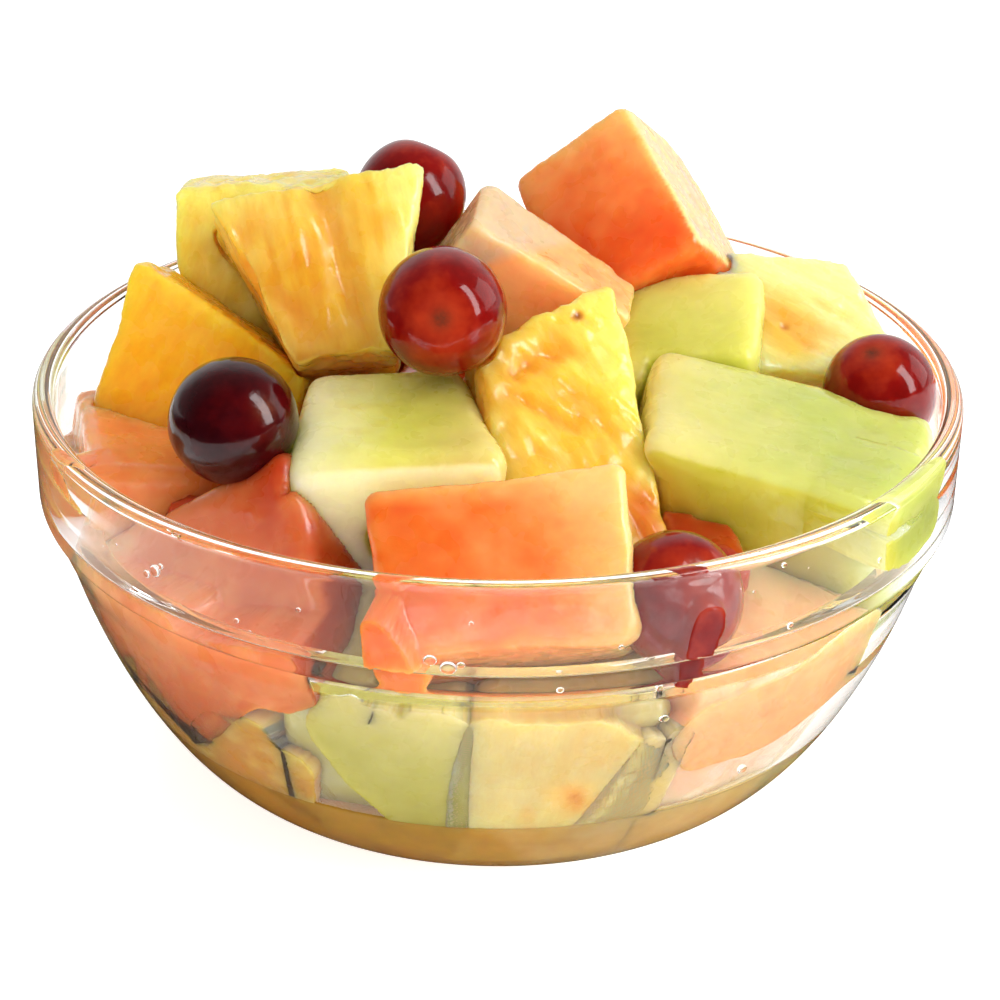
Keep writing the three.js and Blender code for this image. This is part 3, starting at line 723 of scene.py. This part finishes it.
def paint(points, facings, piece, look, seed):  # the piece's colours, from 0 to 255: flesh tones, plus painted shade and painted light where its tints put them
    colour = np.tile(np.array(piece["colour"], float), (len(points), 1))
    middle, half = (points.min(0) + points.max(0)) / 2, (points.max(0) - points.min(0)) / 2
    wander = 0.7 * smoothNoise(points, 5, seed) + 0.3 * smoothNoise(points, 2, seed + 1)
    for layer in piece.get("tints", ()):
        if layer["kind"] == "spot":
            reach = lineDistance(points, layer["line"]) / layer["width"]
            share = np.exp(-np.maximum(reach + 0.35 * wander, 0) ** 2)
        else:
            way = np.array(Vector(layer["way"]).normalized())
            if layer["kind"] == "facing":
                share = np.clip((facings @ way - 0.7) / 0.15, 0, 1)
            elif layer["kind"] == "towards":
                place = ((points - middle) / half) @ way / np.abs(way).sum() * 1.3 + 0.15 * wander
                share = np.clip((place - layer["start"]) / (1 - layer["start"]), 0, 1) ** 0.8
            else:
                share = np.clip((points - layer["place"]) @ way / layer["soft"] + 0.5 + 0.4 * wander, 0, 1)
        share = (share * layer["amount"])[:, None]
        colour = colour * (1 - share) + np.array(layer["colour"], float) * share
    return colour


def cutPiece(node, piece, material, seed):
    look = finishes[node.split("_")[0]]
    voxel = cutting["fineVoxel"] if piece.get("fine") else cutting["voxel"]
    bm = bmesh.new()
    bm.from_mesh(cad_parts[node].data)
    bmesh.ops.remove_doubles(bm, verts=bm.verts, dist=0.001 * mm)
    mesh = bpy.data.meshes.new(node)
    bm.to_mesh(mesh)
    bm.free()
    thing = addObject(node + "_cut", mesh)
    remesh = thing.modifiers.new("remesh", "REMESH")
    remesh.mode, remesh.voxel_size = "VOXEL", voxel * mm
    soften = thing.modifiers.new("soften", "SMOOTH")
    soften.factor, soften.iterations = 0.5, cutting["softenRounds"]
    plainMesh(thing)
    mesh = thing.data
    points, normals = readPoints(mesh)
    rounds = max(4, round(2 * (cutting["edgeSpan"] / voxel) ** 2))
    calm = calmed(mesh, points, rounds)
    bend = ((points - calm) * normals).sum(1) / 0.4
    keen = keenEdges(points, normals, bend, cutting["reach"])
    keen = calmed(mesh, keen[:, None], cutting["evenRounds"])[:, 0] * piece.get("keen", 1)
    blunt = cutting["blunt"] * (0.5 + 0.5 * smoothNoise(points, 9, seed + 3))
    points += normals * (keen * (1 - 0.6 * blunt) + piece.get("grow", cutting["grow"]))[:, None]
    points = calmed(mesh, points, max(1, round(0.5 / voxel), round(2 * (piece.get("soft", 0) / voxel) ** 2)))
    writePoints(mesh, points)
    normals = readPoints(mesh)[1]
    edge = np.clip(bend, 0, 1)
    grain = np.array(Vector(piece["grain"]).normalized())
    strands = points - np.outer(points @ grain * (1 - 1 / look["strandStretch"]), grain)
    height = sum(depth * smoothNoise(points, size, seed + i) for i, (size, depth) in enumerate(look["lumps"]))
    height -= sum(2 * depth * np.abs(smoothNoise(strands, size, seed + 5)) for size, depth in look["strands"])
    height -= look["nicks"] * np.maximum(smoothNoise(points, 1.8, seed + 8), 0) * edge
    height *= piece.get("relief", 1)
    colour = paint(points, normals, piece, look, seed + 30)
    for layer in piece.get("tints", ()):
        if layer.get("depth"):
            height -= layer["depth"] * np.exp(-(lineDistance(points, layer["line"]) / layer["width"]) ** 2)
    shade = sum(share * smoothNoise(points, size, seed + 12 + i)
                for i, (size, share) in enumerate(look["mottle"]))
    shade += sum(share * smoothNoise(strands, size, seed + 16) for size, share in look["streaks"])
    shade = shade * np.clip((colour.max(1) - colour.min(1)) / 150, 0.2, 1)  # pale flesh is more even
    # pushes convex edges towards the pale colour: painted glow of light through the thin edges
    shade = (shade + look["edge"] * edge)[:, None]
    colour += np.maximum(shade, 0) * (look["pale"] - colour) + np.maximum(-shade, 0) * (look["deep"] - colour)
    points += normals * height[:, None]
    fitToGlass(points, normals, piece, seed + 11)
    writePoints(mesh, points)
    flesh = linear(np.clip(colour, 0, 255)) * cutting["tone"]
    flesh = np.concatenate([flesh, np.ones((len(points), 1))], axis=1)
    mesh.attributes.new("flesh", "FLOAT_COLOR", "POINT").data.foreach_set(
        "color", flesh.astype(np.float32).ravel())
    mesh.attributes.new("strands", "FLOAT_VECTOR", "POINT").data.foreach_set(
        "vector", (strands * mm).astype(np.float32).ravel())
    dress(thing, node, material)
    return len(mesh.polygons) * 2


def buildCutFruit():
    flesh = {kind: fleshMaterial(kind + "Flesh", look) for kind, look in finishes.items()}
    triangles = 0
    for seed, (node, piece) in enumerate(cutFruit.items()):
        triangles += cutPiece(node, piece, flesh[node.split("_")[0]], seed * 20)
    print("cut fruit ready:", len(cutFruit), "pieces,", triangles, "triangles")


buildCutFruit()


# ---- whole grapes

grapes = dict(
    grape_top_front=dict(at=(-8, -18, 77), turn=(0, 75, 0), radius=9.2),
    grape_top_back=dict(at=(-14, 18, 81), turn=(20, -20, 30), radius=8.6),
    grape_left=dict(at=(-37, -30, 65), turn=(40, 60, 0), radius=9, dimple=0.2, dark=True),
    grape_right_rim=dict(at=(58, -2, 58), turn=(0, 20, -15), radius=8.6),
    grape_front_glass=dict(at=(24, -52, 50), turn=(30, 40, 0), radius=8.8, touches=(
        dict(line=((28, -61, 52), (27, -61, 49), (25.5, -60, 46), (24.5, -59, 42.5), (23.5, -58, 40.5)),
             width=2.3),)),
    grape_right_glass=dict(at=(52, -5, 27), turn=(0, 40, 60), radius=8.2),
    grape_back_glass=dict(at=(12, 55, 42), turn=(0, 120, 20), radius=8.6),
    grape_left_glass=dict(at=(-49, 26, 35), turn=(0, 100, 50), radius=8.6, dark=True),
)
grapeShape = dict(stretch=1.08, dimple=0.9, dimpleSpread=0.4, sides=96, rings=64)
grapeSkins = dict(
    red=dict(slot="red_grape", colours=((0.0, (84, 4, 5)), (0.5, (124, 10, 6)), (1.0, (168, 48, 20)))),
    dark=dict(slot="dark_grape", colours=((0.0, (26, 0, 4)), (0.5, (46, 2, 6)), (1.0, (76, 6, 8)))),
)


def grapeMaterial(name, look):
    recipe = Recipe(bpy.data.materials.new(name))
    where = recipe.node("ShaderNodeTexCoord", output="Object")
    scar = recipe.node("ShaderNodeAttribute", dict(attribute_name="scar"), output="Fac")
    halo = recipe.node("ShaderNodeAttribute", dict(attribute_name="halo"), output="Fac")
    patches = recipe.noise(where, 5, 3, 0.6)
    colour = recipe.node("ShaderNodeValToRGB", dict(stops=[(at, tint(*rgb)) for at, rgb in look["colours"]]),
                         {"Fac": (patches - 0.5) * 1.2 + 0.42 + halo * 0.5})
    brown = recipe.node("ShaderNodeMix", dict(data_type="RGBA"), {
        0: (scar * (recipe.noise(where, 0.5, 2) + 0.4)).held(), 6: colour, 7: tint(96, 44, 26)}, 2)
    bump = recipe.node("ShaderNodeBump", {}, {
        "Strength": 0.25, "Distance": 0.3 * mm, "Height": recipe.noise(where, 1.6, 2)})
    return recipe.finish(recipe.node("ShaderNodeBsdfPrincipled", dict(subsurface_method="RANDOM_WALK"), {
        "Base Color": brown, "Roughness": recipe.noise(where, 4, 2) * 0.12 + 0.1,
        "IOR": 1.42, "Specular IOR Level": 0.2,
        "Subsurface Weight": 0.35, "Subsurface Radius": (1.0, 0.25, 0.15), "Subsurface Scale": 3 * mm,
        "Coat Weight": 0.4, "Coat Roughness": 0.045, "Normal": bump}))


def grapePiece(node, grape, material, seed):
    shape, radius = grapeShape, grape["radius"]
    yaw, pitch, roll = (math.radians(a) for a in grape["turn"])
    turn = Matrix.Rotation(yaw, 3, "Z") @ Matrix.Rotation(pitch, 3, "X") @ Matrix.Rotation(roll, 3, "Y")
    profile = []
    for i in range(shape["rings"] + 1):
        fromStem = math.pi * i / shape["rings"]
        dimple = grape.get("dimple", shape["dimple"]) * math.exp(-(fromStem / shape["dimpleSpread"]) ** 2)
        profile.append((radius * math.sin(fromStem), radius * math.cos(fromStem) * shape["stretch"] - dimple))
    mesh = turnedMesh(node, [(0, profile[0][1])] + profile[1:-1] + [(0, profile[-1][1])], shape["sides"])
    points, normals = readPoints(mesh)
    fromStem = np.arccos(np.clip(points[:, 2] / np.linalg.norm(points, axis=1), -1, 1))
    bumps = 0.16 * smoothNoise(points, 7, seed) + 0.03 * smoothNoise(points, 2.2, seed + 1)
    points += normals * bumps[:, None]
    points = points @ np.array(turn).T + np.array(grape["at"])
    fitToGlass(points, normals @ np.array(turn).T, grape, seed)
    writePoints(mesh, points)
    for name, value in (("scar", np.exp(-(fromStem / 0.16) ** 2)), ("halo", np.exp(-(fromStem / 0.55) ** 2))):
        mesh.attributes.new(name, "FLOAT", "POINT").data.foreach_set("value", value.astype(np.float32))
    dress(addObject(node + "_skin", mesh), node, material)


def buildGrapes():
    skins = {name: grapeMaterial(name + "GrapeSkin", look) for name, look in grapeSkins.items()}
    for seed, (node, grape) in enumerate(grapes.items()):
        grapePiece(node, grape, skins["dark" if grape.get("dark") else "red"], seed * 7)
    print("grapes ready:", len(grapes))


buildGrapes()


# ---- drops of juice on the inside of the glass

drops = dict(
    band=dict(low=47.2, high=58.5, start=-170, end=-15, inward=0.02),  # where the small ones are scattered
    density=9000, smallest=0.1, largest=0.42, flatness=0.45, seed=12,
    ior=1.33, colour=(0.99, 0.99, 0.97, 1), shade=(0.97, 0.97, 0.95, 1), waviness=0.05, waveSize=3,
    places=(  # azimuth, height and size of the ones listed one by one
        (-132, 52.3, 0.9), (-133.5, 51.2, 0.6), (-131, 53.4, 0.45), (-97, 48.8, 0.8), (-95, 47.8, 1.0),
        (-93.6, 48.3, 0.5), (-54.7, 47.9, 0.55), (-69, 36.1, 0.7), (-70.5, 41.7, 0.5), (-52.6, 19.8, 0.8),
        (-39.8, 51.6, 0.45),
        (-112, 53.5, 0.35), (-120, 49.5, 0.4), (-82.5, 43.6, 0.5), (-103.5, 38.8, 0.45), (-76, 50.2, 0.35)),
)


def dropsTree():  # scatters flattened drops over the faces, and sets one at each loose point
    tree = bpy.data.node_groups.new("dropsOnGlass", "GeometryNodeTree")
    tree.is_modifier = True
    kinds = dict(Surface="Geometry", Density="Float", Smallest="Float", Largest="Float", Flatness="Float",
                 Seed="Int", Finish="Material")
    sockets = {}
    for name, kind in kinds.items():
        made = tree.interface.new_socket(name, in_out="INPUT", socket_type="NodeSocket" + kind)
        sockets[name] = made.identifier
    tree.interface.new_socket("Drops", in_out="OUTPUT", socket_type="NodeSocketGeometry")
    recipe = Recipe(tree)
    given = recipe.given()
    chance = recipe.node("FunctionNodeRandomValue", dict(data_type="FLOAT"), {"Seed": given["Seed"]}, 1)
    size = chance ** 3 * (given["Largest"] - given["Smallest"]) + given["Smallest"]
    scattered = recipe.node("GeometryNodeDistributePointsOnFaces", {}, {
        "Mesh": given["Surface"], "Density": given["Density"], "Seed": given["Seed"]})
    scattered = recipe.node("GeometryNodeStoreNamedAttribute", dict(data_type="FLOAT"), {
        "Geometry": scattered, "Name": "drop", "Value": size})
    known = recipe.node("GeometryNodeInputNamedAttribute", dict(data_type="FLOAT"), {"Name": "drop"})
    byHand = recipe.node("FunctionNodeCompare", dict(data_type="FLOAT"), {0: known, 1: 0.0})
    placed = recipe.node("GeometryNodeMeshToPoints", {}, {"Mesh": given["Surface"], "Selection": byHand})
    points = recipe.node("GeometryNodeJoinGeometry")
    for part in (scattered, placed):
        recipe.tree.links.new(part.socket, points.socket.node.inputs[0])
    outward = recipe.node("ShaderNodeVectorMath", dict(operation="MULTIPLY"), {
        0: recipe.node("GeometryNodeInputPosition"), 1: (1, 1, 0)})
    turn = recipe.node("FunctionNodeAlignRotationToVector", dict(axis="Z"), {"Vector": outward})
    taller = recipe.node("FunctionNodeRandomValue", dict(data_type="FLOAT"), {2: 0.8, 3: 1.5, "Seed": 5}, 1)
    scale = recipe.node("ShaderNodeCombineXYZ", {}, {
        0: known * taller, 1: known, 2: known * given["Flatness"]})
    ball = recipe.node("GeometryNodeMeshIcoSphere", {}, {"Radius": 1.0, "Subdivisions": 2})
    made = recipe.node("GeometryNodeInstanceOnPoints", {}, {
        "Points": points, "Instance": ball, "Rotation": turn, "Scale": scale})
    made = recipe.node("GeometryNodeRealizeInstances", {}, {"Geometry": made})
    made = recipe.node("GeometryNodeSetMaterial", {}, {"Geometry": made, "Material": given["Finish"]})
    tree.links.new(made.socket, tree.nodes.new("NodeGroupOutput").inputs[0])
    return tree, sockets


def placeOnWall(angle, height, inward=0.0):  # in metres, at that angle round the bowl
    radius = float(wallRadius(np.array([height]))[0]) - inward
    return radius * math.cos(angle) * mm, radius * math.sin(angle) * mm, height * mm


def buildDrops():
    look, band = drops, drops["band"]
    angles = np.radians(np.linspace(band["start"], band["end"], 60))
    corners, sizes = [], []
    for angle in angles:
        for height in (band["low"], band["high"]):
            corners.append(placeOnWall(angle, height, band["inward"]))
    faces = [(2 * i, 2 * i + 2, 2 * i + 3, 2 * i + 1) for i in range(len(angles) - 1)]
    sizes += [0.0] * len(corners)
    for angle, height, size in look["places"]:
        corners.append(placeOnWall(math.radians(angle), height))
        sizes.append(size * mm)
    mesh = bpy.data.meshes.new("glass_drops")
    mesh.from_pydata(corners, [], faces)
    mesh.attributes.new("drop", "FLOAT", "POINT").data.foreach_set("value", np.array(sizes, np.float32))
    thing = addObject("glass_drops", mesh)
    material = clearMaterial("dropLiquid", look)
    tree, sockets = dropsTree()
    scatter = thing.modifiers.new("drops", "NODES")
    scatter.node_group = tree
    values = dict(Density=look["density"], Smallest=look["smallest"] * mm, Largest=look["largest"] * mm,
                  Flatness=look["flatness"], Seed=look["seed"], Finish=material)
    for name, value in values.items():
        scatter[sockets[name]] = value
    plainMesh(thing)
    thing.data.shade_smooth()
    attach(thing, "root")
    print("drops ready:", len(thing.data.polygons) // 80)


buildDrops()
